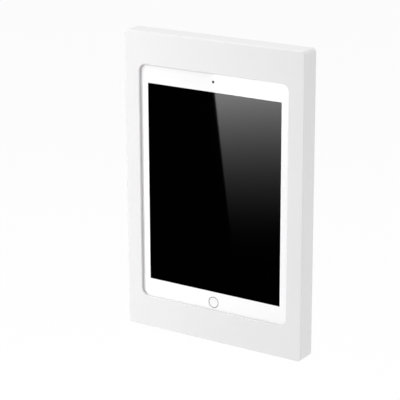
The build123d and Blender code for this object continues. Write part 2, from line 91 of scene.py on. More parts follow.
def add_node(
    tree: NodeTree,
    kind: str,
    inputs: dict[str | int, Any] | None = None,
    into: NodeSocket | None = None,
    **settings: Any,
) -> Node:
    """Adds a shader node with its settings and links.

    Args:
        tree: The node tree that takes the node.
        kind: Blender's name of the node type.
        inputs: For each input, by name or number, a value or the socket that feeds it.
        into: The socket that the node feeds, if it is linked straight away.
        settings: Properties of the node itself, such as operation.

    Returns:
        The new node.
    """
    node = tree.nodes.new(kind)
    for name, value in settings.items():
        setattr(node, name, value)
    for socket, value in (inputs or {}).items():
        if isinstance(value, NodeSocket):
            tree.links.new(value, node.inputs[socket])
        else:
            node.inputs[socket].default_value = value
    if into is not None:
        tree.links.new(next(output for output in node.outputs if output.enabled), into)
    return node


@dataclass(frozen=True)
class Shading:
    """A material in the making.

    Attributes:
        tree: Its node tree.
        surface: Its Principled shader.
        place: Object coordinates in millimetres.
    """

    tree: NodeTree
    surface: Node
    place: NodeSocket

    def sized(self, width_mm: float, **settings: float) -> dict[str, Any]:
        """Inputs of a pattern whose grains have a real width in millimetres."""
        return {"Vector": self.place, "Scale": 1 / width_mm, **settings}


@dataclass(frozen=True)
class Finish:
    """What every finish has in common.

    Attributes:
        name: The material's name.
        colour: Base colour as sRGB hex.
        roughness: Microscopic roughness, from 0 for a mirror to 1 for chalk.
        metallic: 1 for metal, 0 for what isn't metal, and between them for printed foil.
        ior: Index of refraction, which sets how much a surface that isn't metal mirrors.
        edge_mm: Radius that the shading gives to sharp edges.
        relief_mm: Height of the surface's relief.
    """

    name: str
    colour: str
    roughness: float
    metallic: float = 0.0
    ior: float = 1.5
    edge_mm: float = 0.2
    relief_mm: float = 0.01

    def material(self) -> Material:
        """Builds the material.

        Returns:
            The material, built once, with the relief that the finish's own detail method gives.
        """
        if self.name in bpy.data.materials:
            return bpy.data.materials[self.name]
        made = bpy.data.materials.new(self.name)
        made.use_nodes = True
        tree = made.node_tree
        surface = tree.nodes["Principled BSDF"]
        surface.inputs["Base Color"].default_value = linear(self.colour)
        surface.inputs["Roughness"].default_value = self.roughness
        surface.inputs["Metallic"].default_value = self.metallic
        surface.inputs["IOR"].default_value = self.ior
        metres = {0: add_node(tree, "ShaderNodeTexCoord").outputs["Object"], "Scale": 1 / MM}
        place = add_node(tree, "ShaderNodeVectorMath", metres, operation="SCALE").outputs["Vector"]
        radius = {"Radius": self.edge_mm * MM}
        edge = add_node(tree, "ShaderNodeBevel", radius, samples=EDGE_SAMPLES).outputs["Normal"]
        relief = self.detail(Shading(tree, surface, place))
        raised = {"Height": relief, "Normal": edge, "Distance": self.relief_mm * MM}
        add_node(tree, "ShaderNodeBump", raised, into=surface.inputs["Normal"])
        return made

    def detail(self, shading: Shading) -> NodeSocket:
        """Adds the finish's own detail.

        Args:
            shading: The material in the making.

        Returns:
            The relief, from 0 to 1.
        """
        raise NotImplementedError

    def vary_gloss(
        self, shading: Shading, driver: NodeSocket, smoother: float, rougher: float
    ) -> None:
        """Lets the roughness drift about the finish's own value.

        Args:
            shading: The material in the making.
            driver: The value from 0 to 1 that moves it.
            smoother: How far below its own value the roughness lies at 0.
            rougher: How far above it lies at 1.
        """
        limits = {"To Min": self.roughness - smoother, "To Max": self.roughness + rougher}
        socket = shading.surface.inputs["Roughness"]
        add_node(shading.tree, "ShaderNodeMapRange", {"Value": driver, **limits}, into=socket)

    def vary_colour(self, shading: Shading, driver: NodeSocket, colour: str, other: str) -> None:
        """Lets the base colour drift between two colours.

        Args:
            shading: The material in the making.
            driver: The value from 0 to 1 that moves it.
            colour: The sRGB hex colour at 0.
            other: The sRGB hex colour at 1.
        """
        mixed = {"Factor": driver, "A": linear(colour), "B": linear(other)}
        socket = shading.surface.inputs["Base Color"]
        add_node(shading.tree, "ShaderNodeMix", mixed, into=socket, data_type="RGBA")


@dataclass(frozen=True)
class SatinLacquer(Finish):
    """Two-part satin lacquer sprayed on cast aluminium.

    Its orange peel, a few microns high, breaks long reflections into a soft sheen.

    Attributes:
        peel_mm: Width of one dimple of the peel.
        pass_mm: Width of a pass of the spray gun, from which tone and gloss drift to the next.
        pass_colour: The tone at the other end of that drift.
        pass_gloss: How far the roughness drifts to either side.
    """

    relief_mm: float = 0.006
    peel_mm: float = 1.6
    pass_mm: float = 60.0
    pass_colour: str = "#E6E6E6"
    pass_gloss: float = 0.03

    def detail(self, shading: Shading) -> NodeSocket:
        """Adds orange peel, and a faint drift of tone and gloss from the spray's passes.

        Args:
            shading: The material in the making.

        Returns:
            The peel, from 0 to 1.
        """
        tree = shading.tree
        peel = add_node(tree, "ShaderNodeTexNoise", shading.sized(self.peel_mm, Detail=2.0))
        passes = add_node(tree, "ShaderNodeTexNoise", shading.sized(self.pass_mm, Detail=1.0))
        self.vary_gloss(shading, passes.outputs["Fac"], self.pass_gloss, self.pass_gloss)
        self.vary_colour(shading, passes.outputs["Fac"], self.colour, self.pass_colour)
        return peel.outputs["Fac"]


@dataclass(frozen=True)
class ClosedCellFoam(Finish):
    """Closed-cell foam tape, skived to thickness.

    Cut cells pit its face, so it looks flat and chalky.

    Attributes:
        cell_mm: Width of one cell.
        hollow_shade_colour: Colour of the shade in an open cell.
    """

    relief_mm: float = 0.15
    cell_mm: float = 0.5
    hollow_shade_colour: str = "#505052"

    def detail(self, shading: Shading) -> NodeSocket:
        """Adds round cells, with painted shade that darkens their hollows.

        Args:
            shading: The material in the making.

        Returns:
            The distance from each cell's middle, which is its lowest point.
        """
        cells = add_node(shading.tree, "ShaderNodeTexVoronoi", shading.sized(self.cell_mm))
        # Painted shade: the colour darkens towards the middle of each cell, its lowest point.
        self.vary_colour(shading, cells.outputs["Distance"], self.hollow_shade_colour, self.colour)
        return cells.outputs["Distance"]


@dataclass(frozen=True)
class PlatedMetal(Finish):
    """Electroplated metal.

    Its bright, even skin has dull patches where it was handled.

    Attributes:
        patch_mm: Width of a dull patch.
        patch_gloss: How far the roughness differs between patches.
    """

    metallic: float = 1.0
    relief_mm: float = 0.003
    patch_mm: float = 4.0
    patch_gloss: float = 0.06

    def detail(self, shading: Shading) -> NodeSocket:
        """Adds soft patches of gloss, and a waviness that follows them.

        Args:
            shading: The material in the making.

        Returns:
            The waviness of the metal below the plating, from 0 to 1.
        """
        handled = shading.sized(self.patch_mm, Detail=4.0)
        patches = add_node(shading.tree, "ShaderNodeTexNoise", handled).outputs["Fac"]
        self.vary_gloss(shading, patches, self.patch_gloss, self.patch_gloss)
        return patches


@dataclass(frozen=True)
class GalvanisedSheet(Finish):
    """Hot-dip galvanised steel sheet.

    The zinc froze in flat crystals, each of which returns its own grey.

    Attributes:
        spangle_mm: Width of a crystal.
        spangle_colours: The darkest and the palest crystal.
        warp_mm: How far a crystal's edge strays from straight.
        warp_size_mm: Distance from one bend of that edge to the next.
        grain_mm: Grain that the rolls leave in the sheet.
        dull: How much rougher the dullest crystal is than the sheet.
        bright: How much smoother the brightest one is.
    """

    metallic: float = 1.0
    relief_mm: float = 0.004
    spangle_mm: float = 9.0
    spangle_colours: tuple[str, str] = ("#A5A9AC", "#B5B9BB")
    warp_mm: float = 2.5
    warp_size_mm: float = 7.0
    grain_mm: float = 0.3
    dull: float = 0.12
    bright: float = 0.1

    def detail(self, shading: Shading) -> NodeSocket:
        """Adds angular crystals, each with its own grey and gloss, over a fine rolled grain.

        Args:
            shading: The material in the making.

        Returns:
            The rolled grain, from 0 to 1.
        """
        tree = shading.tree
        warp = add_node(tree, "ShaderNodeTexNoise", shading.sized(self.warp_size_mm, Detail=2.0))
        strayed = {0: warp.outputs["Color"], 1: (self.warp_mm,) * 3, 2: shading.place}
        bent = add_node(tree, "ShaderNodeVectorMath", strayed, operation="MULTIPLY_ADD")
        spangle = {"Vector": bent.outputs["Vector"], "Scale": 1 / self.spangle_mm}
        crystals = add_node(tree, "ShaderNodeTexVoronoi", spangle)
        tone = add_node(tree, "ShaderNodeSeparateColor", {"Color": crystals.outputs["Color"]})
        self.vary_colour(shading, tone.outputs["Red"], *self.spangle_colours)
        self.vary_gloss(shading, tone.outputs["Green"], self.bright, self.dull)
        grain = add_node(tree, "ShaderNodeTexNoise", shading.sized(self.grain_mm, Detail=3.0))
        return grain.outputs["Fac"]


@dataclass(frozen=True)
class MouldedSurface(Finish):
    """Injection-moulded plastic or rubber from a spark-eroded tool.

    The tool's fine pits leave a dry, even grain.

    Attributes:
        grain_mm: Width of a pit.
        flow_mm: Distance over which the gloss changes where the melt cooled at another rate.
        flow_gloss: How far the roughness changes there.
    """

    relief_mm: float = 0.02
    grain_mm: float = 0.35
    flow_mm: float = 12.0
    flow_gloss: float = 0.06

    def detail(self, shading: Shading) -> NodeSocket:
        """Adds fine pits, and a slow change of gloss.

        Args:
            shading: The material in the making.

        Returns:
            The pits, from 0 to 1.
        """
        pitted = shading.sized(self.grain_mm, Detail=3.0, Roughness=0.6)
        pits = add_node(shading.tree, "ShaderNodeTexNoise", pitted)
        flow = add_node(shading.tree, "ShaderNodeTexNoise", shading.sized(self.flow_mm, Detail=1.0))
        self.vary_gloss(shading, flow.outputs["Fac"], self.flow_gloss, self.flow_gloss)
        return pits.outputs["Fac"]


@dataclass(frozen=True)
class BlastedAluminium(Finish):
    """Bead-blasted and clear-anodised aluminium.

    It looks silky and grey from every side, and a little frosty at its edges.

    Attributes:
        bead_mm: Width of the dimple that one bead leaves.
        cloud_mm: Distance over which the anodised tone drifts.
        cloud_colour: The tone at the other end of that drift.
    """

    metallic: float = 1.0
    relief_mm: float = 0.008
    bead_mm: float = 0.18
    cloud_mm: float = 30.0
    cloud_colour: str = "#D6D7D9"

    def detail(self, shading: Shading) -> NodeSocket:
        """Adds overlapping round dimples, and the drift of tone.

        Args:
            shading: The material in the making.

        Returns:
            The dimples, lowest in their middles.
        """
        tree = shading.tree
        dimples = add_node(tree, "ShaderNodeTexVoronoi", shading.sized(self.bead_mm))
        cloud = add_node(tree, "ShaderNodeTexNoise", shading.sized(self.cloud_mm, Detail=1.0))
        self.vary_colour(shading, cloud.outputs["Fac"], self.colour, self.cloud_colour)
        return dimples.outputs["Distance"]


@dataclass(frozen=True, kw_only=True)
class TurnedSteel(Finish):
    """Steel turned and polished on a lathe.

    Faint rings about the button's axis lie in a bright polish.

    Attributes:
        axis_z: Height in metres of the axis, which runs along Y through x = 0.
        groove_mm: Distance between tool marks, drawn coarser than the real 0.02 mm so as to show.
    """

    metallic: float = 1.0
    relief_mm: float = 0.002
    axis_z: float
    groove_mm: float = 0.24

    def detail(self, shading: Shading) -> NodeSocket:
        """Adds rings about the axis.

        Args:
            shading: The material in the making.

        Returns:
            The tool marks, from 0 to 1.
        """
        shifted = {0: shading.place, 1: (0.0, 0.0, self.axis_z / MM)}
        shift = add_node(shading.tree, "ShaderNodeVectorMath", shifted, operation="SUBTRACT")
        centred = shift.outputs["Vector"]
        rings = add_node(
            shading.tree,
            "ShaderNodeTexWave",
            {"Vector": centred, "Scale": 2 * math.pi / (WAVE_RADIANS * self.groove_mm)},
            wave_type="RINGS",
            rings_direction="Y",
        )
        return rings.outputs["Fac"]


@dataclass(frozen=True)
class BatteryPouch(Finish):
    """Aluminium laminate pouch, drawn over its cell and printed dark.

    Shallow creases cross it, and the print lets a part of the foil's shine through.

    Attributes:
        crease_mm: Distance between creases.
        crease_bend: How strongly they wander.
        worn: How much rougher the tops of the creases are.
        taut: How much smoother the drawn parts are.
    """

    relief_mm: float = 0.12
    crease_mm: float = 14.0
    crease_bend: float = 1.2
    worn: float = 0.1
    taut: float = 0.08

    def detail(self, shading: Shading) -> NodeSocket:
        """Adds long creases that cross each other.

        Args:
            shading: The material in the making.

        Returns:
            The creases, from 0 to 1.
        """
        wander = shading.sized(self.crease_mm, Detail=3.0, Distortion=self.crease_bend)
        creases = add_node(shading.tree, "ShaderNodeTexNoise", wander)
        self.vary_gloss(shading, creases.outputs["Fac"], self.taut, self.worn)
        return creases.outputs["Fac"]


@dataclass(frozen=True)
class SolderMask(Finish):
    """Glass-fibre board under green solder mask.

    Copper tracks stand up faintly under the mask and look lighter.

    Attributes:
        pitch_mm: Distance from one track to the next.
        run_mm: Length of a track before it steps aside.
        track_mm: Width of a track.
        ground_colour: The other tone of the mask between tracks.
        track_colour: Colour of the mask over a track.
    """

    relief_mm: float = 0.035
    pitch_mm: float = 0.7
    run_mm: float = 8.4
    track_mm: float = 0.084
    ground_colour: str = "#17503A"
    track_colour: str = "#2C6B4E"

    def detail(self, shading: Shading) -> NodeSocket:
        """Adds straight tracks, which run like the joints of brickwork.

        Args:
            shading: The material in the making.

        Returns:
            The tracks, as 1.
        """
        upright = {"Vector": shading.place, "Rotation": (math.pi / 2, 0.0, 0.0)}
        turned = add_node(shading.tree, "ShaderNodeMapping", upright)
        courses = {
            "Vector": turned.outputs["Vector"],
            "Scale": 1.0,
            "Color1": linear(self.colour),
            "Color2": linear(self.ground_colour),
            "Mortar": linear(self.track_colour),
            "Mortar Size": self.track_mm,
            "Brick Width": self.run_mm,
            "Row Height": self.pitch_mm,
        }
        colour = shading.surface.inputs["Base Color"]
        return add_node(shading.tree, "ShaderNodeTexBrick", courses, into=colour).outputs["Fac"]


@dataclass(frozen=True)
class SmoothPiece(Finish):
    """Polished glass, lens or gloss plastic.

    It is so smooth that only a trace of dust breaks its reflection.

    Attributes:
        dust_mm: Distance between traces of dust.
        dust_gloss: How much rougher the dust makes the surface.
    """

    relief_mm: float = 0.0004
    dust_mm: float = 3.0
    dust_gloss: float = 0.02

    def detail(self, shading: Shading) -> NodeSocket:
        """Adds a trace of dust in the roughness.

        Args:
            shading: The material in the making.

        Returns:
            The dust, from 0 to 1.
        """
        dust = add_node(shading.tree, "ShaderNodeTexNoise", shading.sized(self.dust_mm, Detail=5.0))
        self.vary_gloss(shading, dust.outputs["Fac"], 0.0, self.dust_gloss)
        return dust.outputs["Fac"]


@dataclass(frozen=True, kw_only=True)
class PrintedCoverGlass(SmoothPiece):
    """Cover glass with white ink on its back and a dark display bonded behind the clear part.

    It is one hard, wet-looking face: pure white at the border, deep black within, and a small lens.

    Attributes:
        lit_width: Width of the clear part, in metres.
        lit_height: Height of the clear part.
        lens_z: Height of the front camera above the middle.
        lens_radius: Radius of the dark dot in front of the camera.
        screen_colour: Colour of the dark display.
    """

    lit_width: float
    lit_height: float
    lens_z: float
    lens_radius: float = 0.0013
    screen_colour: str = "#010101"

    def detail(self, shading: Shading) -> NodeSocket:
        """Adds the ink's edge and the dot in the ink, worked out from the place on the glass.

        Args:
            shading: The material in the making.

        Returns:
            The dust, from 0 to 1.
        """
        tree = shading.tree
        axes = add_node(tree, "ShaderNodeSeparateXYZ", {"Vector": shading.place}).outputs
        across = self.within(tree, axes["X"], self.lit_width / 2)
        upward = self.within(tree, axes["Z"], self.lit_height / 2)
        clear = add_node(tree, "ShaderNodeMath", {0: across, 1: upward}, operation="MULTIPLY")
        flat = add_node(tree, "ShaderNodeCombineXYZ", {"X": axes["X"], "Z": axes["Z"]})
        ends = {0: flat.outputs["Vector"], 1: (0.0, 0.0, self.lens_z / MM)}
        to_lens = add_node(tree, "ShaderNodeVectorMath", ends, operation="DISTANCE")
        lens = self.within(tree, to_lens.outputs["Value"], self.lens_radius)
        dark = add_node(tree, "ShaderNodeMath", {0: clear.outputs[0], 1: lens}, operation="MAXIMUM")
        self.vary_colour(shading, dark.outputs[0], self.colour, self.screen_colour)
        return super().detail(shading)

    def within(self, tree: NodeTree, distance: NodeSocket, limit: float) -> NodeSocket:
        """Tests whether a place lies near the middle.

        Args:
            tree: The node tree.
            distance: Distance from the middle in millimetres, of either sign.
            limit: The largest distance that counts, in metres.

        Returns:
            1 where the distance is under the limit, and 0 elsewhere.
        """
        size = add_node(tree, "ShaderNodeMath", {0: distance}, operation="ABSOLUTE")
        bounds = {0: size.outputs[0], 1: limit / MM}
        return add_node(tree, "ShaderNodeMath", bounds, operation="LESS_THAN").outputs[0]


def dress(finish: Finish, *nodes: str) -> None:
    """Gives CAD nodes one finish.

    Args:
        finish: The finish to build.
        nodes: Names of the CAD nodes.
    """
    material = finish.material()
    for name in nodes:
        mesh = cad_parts[name].data
        mesh.materials.clear()
        mesh.materials.append(material)
        log.info("%s: %s", name, finish.name)


def at_corners(kind: str) -> list[str]:
    """Names the four nodes of one kind, one for each corner."""
    return [f"{kind}_{end}_{side}" for end in ("top", "bottom") for side in ("left", "right")]


def skin(shape: BMesh, rings: list[list[Vector]]) -> None:
    """Joins rings of points to one closed body.

    Args:
        shape: The mesh that takes it.
        rings: Rings of equally many points, in order. Flat faces close the first and the last.
    """
    loops = [[shape.verts.new(place) for place in ring] for ring in rings]
    shape.faces.new(loops[0])
    shape.faces.new(loops[-1])
    for behind, ahead in zip(loops, loops[1:]):
        for side in range(len(behind)):
            after = (side + 1) % len(behind)
            shape.faces.new((behind[side], behind[after], ahead[after], ahead[side]))


def outline(low: Vector, high: Vector, corner: float, inset: float, y: float) -> list[Vector]:
    """Works out a rectangle with rounded corners, as seen from the front.

    Args:
        low: Lowest corner of the box around it.
        high: Highest corner of that box.
        corner: Radius of its corners.
        inset: How far it lies inside the box on every side, which the corners follow.
        y: Its place along Y.

    Returns:
        Its points, in order.
    """
    left, right = low.x + corner, high.x - corner
    bottom, top = low.z + corner, high.z - corner
    points = []
    for quarter, (x, z) in enumerate(((right, top), (left, top), (left, bottom), (right, bottom))):
        for step in range(CORNER_STEPS + 1):
            angle = math.pi / 2 * (quarter + step / CORNER_STEPS)
            reach = corner - inset
            points.append(Vector((x + reach * math.cos(angle), y, z + reach * math.sin(angle))))
    return points


def block(shape: BMesh, low: Vector, high: Vector, corner: float, edge: float) -> None:
    """Adds a block with rounded corners, as seen from the front, and rounded back and front edges.

    Args:
        shape: The mesh that takes it.
        low: Its lowest corner.
        high: Its highest corner.
        corner: Radius of its corners. Half of its width makes it a round post.
        edge: Radius of its edges, less than that of its corners.
    """
    turns = [math.pi / 2 * step / EDGE_STEPS for step in range(EDGE_STEPS + 1)]
    drops = [(edge * (1 - math.sin(turn)), edge * (1 - math.cos(turn))) for turn in turns]
    rings = [outline(low, high, corner, inset, high.y - drop) for inset, drop in drops]
    rings += [outline(low, high, corner, inset, low.y + drop) for inset, drop in reversed(drops)]
    skin(shape, rings)


def layer(
    shape: BMesh,
    box: tuple[Vector, Vector],
    inset: float,
    front: float,
    back: float,
    corner: float,
    edge: float,
) -> None:
    """Adds one layer of a piece: a block inside the box of its plain solid, with the same middle.

    Args:
        shape: The mesh that takes it.
        box: The lowest and the highest corner of the solid's box.
        inset: How far the layer stays inside the box on all four sides, as seen from the front.
        front: Place of its front along Y.
        back: Place of its back along Y.
        corner: Radius of its corners.
        edge: Radius of its edges.
    """
    low, high = box
    first = Vector((low.x + inset, front, low.z + inset))
    block(shape, first, Vector((high.x - inset, back, high.z - inset)), corner, edge)


def spaced(low: float, high: float, step: float) -> list[float]:
    """Even places between two ends, about a step apart, without the ends."""
    count = int((high - low) / step)
    return [low + (high - low) * place / count for place in range(1, count)]


def add_piece(
    shape: BMesh, name: str, finish: Finish, body: str, slot: str, *replaced: str
) -> None:
    """Turns a mesh in the making into a finished piece of the object.

    Args:
        shape: The mesh, which is used up.
        name: The piece's name.
        finish: What it is made of.
        body: The body that it rides on.
        slot: The record's material slot. It is not used.
        replaced: The CAD nodes that it stands for.
    """
    bmesh.ops.remove_doubles(shape, verts=shape.verts, dist=WELD)
    bmesh.ops.recalc_face_normals(shape, faces=shape.faces)
    mesh = bpy.data.meshes.new(name)
    shape.to_mesh(mesh)
    shape.free()
    mesh.shade_smooth()
    mesh.set_sharp_from_angle(angle=math.radians(SMOOTH_BELOW))
    mesh.materials.append(finish.material())
    piece = bpy.data.objects.new(name, mesh)
    bpy.context.scene.collection.objects.link(piece)
    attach(piece, body)
    if replaced:
        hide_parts(*replaced)
    log.info("%s: %s, %d faces", name, finish.name, len(mesh.polygons))


@dataclass
class Cover:
    """The white cover with its gasket and magnets, which come off the wall together.

    Attributes:
        lacquer: White paint on the cast shell, which looks like one soft, even sheen.
        foam: Grey tape in the gap to the glass, which looks flat.
        plating: Nickel on the magnets, warm and bright.
        magnet_corner: Radius of the corners of a sintered magnet, in metres.
        magnet_edge: Radius of its other edges, which are tumbled before it is plated.
    """

    lacquer: Finish = SatinLacquer("satin_white_lacquer", "#E4E4E4", roughness=0.42, edge_mm=0.3)
    foam: Finish = ClosedCellFoam("closed_cell_foam", "#7C7C7E", roughness=0.9)
    plating: Finish = PlatedMetal("nickel_plating", "#C9C5BC", roughness=0.2)
    magnet_corner: float = 0.0006
    magnet_edge: float = 0.0003

    def build(self) -> None:
        """Dresses the cover and its gasket, and builds the magnets."""
        dress(self.lacquer, "cover_frame")
        dress(self.foam, "window_gasket")
        for magnet in at_corners("magnet"):
            shape = bmesh.new()
            block(shape, *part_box(magnet), self.magnet_corner, self.magnet_edge)
            add_piece(shape, f"plated_{magnet}", self.plating, "cover", "nickel", magnet)


@dataclass
class WallPlate:
    """The folded steel plate on the wall, with the liner of its cable opening.

    Attributes:
        zinc: The bright patchwork of the sheet's zinc.
        liner: Black rubber, which looks dull beside it.
    """

    zinc: Finish = GalvanisedSheet("galvanised_steel", "#ABAFB2", roughness=0.42)
    liner: Finish = MouldedSurface(
        "moulded_epdm_rubber", "#1E1E20", roughness=0.72, ior=1.52, relief_mm=0.03
    )

    def build(self) -> None:
        """Dresses the plate and its liner."""
        dress(self.zinc, "wall_plate")
        dress(self.liner, "cable_grommet")


@dataclass
class CornerHolders:
    """The four holders that the tablet rests in, with their pads.

    Attributes:
        plastic: Tough black plastic with a matt grain.
        pad: Soft grey silicone, whose coarser grain grips the tablet.
    """

    plastic: Finish = MouldedSurface(
        "spark_eroded_abs", "#202124", roughness=0.5, ior=1.54, edge_mm=0.3
    )
    pad: Finish = MouldedSurface(
        "moulded_silicone_pad", "#48484B", roughness=0.65, ior=1.41, grain_mm=0.6
    )

    def build(self) -> None:
        """Dresses the holders and pads."""
        dress(self.plastic, *at_corners("corner_holder"))
        dress(self.pad, *at_corners("holder_pad"))


@dataclass
class HolderScrews:
    """Four pan-head machine screws, one in each holder, with the threads that the solids leave out.

    Sizes are in metres. Depths count from the wall.

    Attributes:
        thread_radius: Radius over the thread's crests.
        thread_depth: Depth of the thread.
        pitch: Distance from one turn of the thread to the next.
        crest: Share of the pitch that the flat crest takes.
        root: Share of the pitch that the flat root takes.
        run_out: Distance below the head over which the thread fades.
        point_radius: Radius of the flat point.
        foot: Depth of the head's underside.
        head_radius: Radius of the head.
        head_curve: Radius of its rounded edge.
        head_break: Small bevel at its underside.
        socket_apothem: Half of the hexagon socket's width across flats.
        socket_bevel: Bevel at the socket's mouth.
        socket_depth: Depth of its flats.
        drill_depth: Further depth of the drilled cone at its bottom.
        drill_tip: Radius of that cone's blunt end.
        sides: Points around the screw, a multiple of 6 for the sake of the hexagon's corners.
        steps: Rings for each turn of the thread.
        curve_steps: Rings along the head's rounded edge.
        plating: The zinc on the steel.
    """

    thread_radius: float = 0.0015
    thread_depth: float = 0.0003
    pitch: float = 0.0005
    crest: float = 0.125
    root: float = 0.25
    run_out: float = 0.0005
    point_radius: float = 0.00115
    foot: float = 0.0045
    head_radius: float = 0.0028
    head_curve: float = 0.0011
    head_break: float = 0.0001
    socket_apothem: float = 0.001
    socket_bevel: float = 0.0001
    socket_depth: float = 0.0011
    drill_depth: float = 0.0003
    drill_tip: float = 0.0001
    sides: int = 48
    steps: int = 12
    curve_steps: int = 6
    plating: Finish = PlatedMetal(
        "zinc_plated_screw", "#B7BCC4", roughness=0.3, edge_mm=0.03, patch_mm=1.5
    )

    def build(self) -> None:
        """Builds the screws as one piece in place of the plain solids."""
        solid = "holder_screws"
        low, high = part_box(solid)
        point, top = -high.y, -low.y
        rings = self.shank(point) + self.head(top)
        shape = bmesh.new()
        for x in (low.x + self.head_radius, high.x - self.head_radius):
            for z in (low.z + self.head_radius, high.z - self.head_radius):
                axis = Vector((x, 0.0, z))
                skin(shape, [[axis + place for place in ring] for ring in rings])
        add_piece(shape, f"threaded_{solid}", self.plating, "base", "screw_steel", solid)

    def shank(self, point: float) -> list[list[Vector]]:
        """Works out the threaded shank.

        Args:
            point: Depth of the screw's point.

        Returns:
            Rings of points from the point to the head's underside.
        """
        count = round((self.foot - point) / self.pitch * self.steps)
        depths = [point + (self.foot - point) * step / count for step in range(count + 1)]
        angles = self.angles()
        return [
            [self.at(self.shank_radius(depth, angle, point), depth, angle) for angle in angles]
            for depth in depths
        ]

    def shank_radius(self, depth: float, angle: float, point: float) -> float:
        """Works out how far the shank's skin lies from its axis.

        Args:
            depth: Distance from the wall.
            angle: Angle around the axis, in radians.
            point: Depth of the screw's point, where a cone cuts the thread.

        Returns:
            The radius there.
        """
        turn = (depth / self.pitch - angle / (2 * math.pi)) % 1.0
        from_crest = 2 * min(turn, 1.0 - turn)
        flank = (from_crest - self.crest) / (1.0 - self.crest - self.root)
        fade = min(1.0, (self.foot - depth) / self.run_out)
        threaded = self.thread_radius - self.thread_depth * fade * min(1.0, max(0.0, flank))
        return min(threaded, self.point_radius + depth - point)

    def head(self, top: float) -> list[list[Vector]]:
        """Works out the pan head with its hexagon socket.

        Args:
            top: Depth of the head's top.

        Returns:
            Rings of points from its underside over the top to the bottom of the socket.
        """
        profile = [
            (self.head_radius - self.head_break, self.foot),
            (self.head_radius, self.foot + self.head_break),
        ]
        for step in range(self.curve_steps + 1):
            turn = math.pi / 2 * step / self.curve_steps
            radius = self.head_radius - self.head_curve * (1 - math.cos(turn))
            profile.append((radius, top - self.head_curve * (1 - math.sin(turn))))
        angles = self.angles()
        rings = [[self.at(radius, depth, angle) for angle in angles] for radius, depth in profile]
        flats = self.socket_apothem
        for apothem, depth in (
            (flats + self.socket_bevel, top),
            (flats, top - self.socket_bevel),
            (flats, top - self.socket_depth),
        ):
            rings.append([self.at(self.hexagon(apothem, angle), depth, angle) for angle in angles])
        drilled = top - self.socket_depth - self.drill_depth
        rings.append([self.at(self.drill_tip, drilled, angle) for angle in angles])
        return rings

    def hexagon(self, apothem: float, angle: float) -> float:
        """Distance from a hexagon's middle to its edge, at an angle from one of its corners."""
        return apothem / math.cos(angle % (math.pi / 3) - math.pi / 6)

    def angles(self) -> list[float]:
        """Angles of the points around the screw, in radians."""
        return [2 * math.pi * side / self.sides for side in range(self.sides)]

    def at(self, radius: float, depth: float, angle: float) -> Vector:
        """Place of a point of a screw whose axis runs through the origin."""
        return Vector((radius * math.cos(angle), -depth, radius * math.sin(angle)))


@dataclass
class Tablet:
    """The tablet's outside: shell, glass and buttons, and the sockets and cameras that show in it.

    Attributes:
        panel_border: Width of the display panel's dark edge on both sides together, in metres.
        aluminium: The shell and its keys.
        ink: The mask printed on the back of the glass.
        polariser: The dark face of the switched-off display.
        camera_window: The cover of the rear camera's lens.
        cap: The home button's hard cap, whose grown crystal mirrors more than glass does.
        can: Folded tinplate around the charging socket.
        polymer: The black plastic of the headphone jack.
    """

    panel_border: float = 0.004
    aluminium: Finish = BlastedAluminium("bead_blasted_aluminium", "#CDCED1", roughness=0.38)
    ink: Finish = SmoothPiece("screen_printed_ink", "#F4F4F2", roughness=0.3)
    polariser: Finish = SmoothPiece("display_polariser", "#040405", roughness=0.12)
    camera_window: Finish = SmoothPiece("camera_window", "#050507", roughness=0.04, ior=1.51)
    cap: Finish = SmoothPiece("white_sapphire_cap", "#FBFBFB", roughness=0.04, ior=1.77)
    can: Finish = PlatedMetal("tinplate_can", "#BDBFC1", roughness=0.28, edge_mm=0.05)
    polymer: Finish = MouldedSurface("moulded_lcp", "#17181A", roughness=0.55, ior=1.6)

    def build(self) -> None:
        """Dresses the tablet's outer nodes."""
        keys = ("power_button", "volume_up_button", "volume_down_button")
        dress(self.aluminium, "tablet_shell", *keys)
        dress(self.glass(), "tablet_glass")
        dress(self.ink, "bezel_mask")
        dress(self.polariser, "display_panel")
        dress(self.camera_window, "rear_camera")
        dress(self.cap, "home_button")
        dress(self.ring(), "home_button_ring")
        dress(self.can, "charging_socket")
        dress(self.polymer, "headphone_jack")

    def glass(self) -> PrintedCoverGlass:
        """Matches the printed glass to the display and the camera of the frame.

        Returns:
            The glass, clear over the display but for its border, with a dot before the camera.
        """
        low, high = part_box("display_panel")
        return PrintedCoverGlass(
            "printed_cover_glass",
            "#FDFDFD",
            roughness=0.015,
            ior=1.51,
            lit_width=high.x - low.x - self.panel_border,
            lit_height=high.z - low.z - self.panel_border,
            lens_z=self.height_of("front_camera"),
        )

    def ring(self) -> TurnedSteel:
        """Turned steel whose tool marks run about the home button's axis."""
        axis_z = self.height_of("home_button")
        return TurnedSteel("turned_steel_ring", "#A9AAAC", roughness=0.2, axis_z=axis_z)

    def height_of(self, node: str) -> float:
        """Height of a node's middle, read from the frame."""
        return sum(corner.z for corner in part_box(node)) / 2


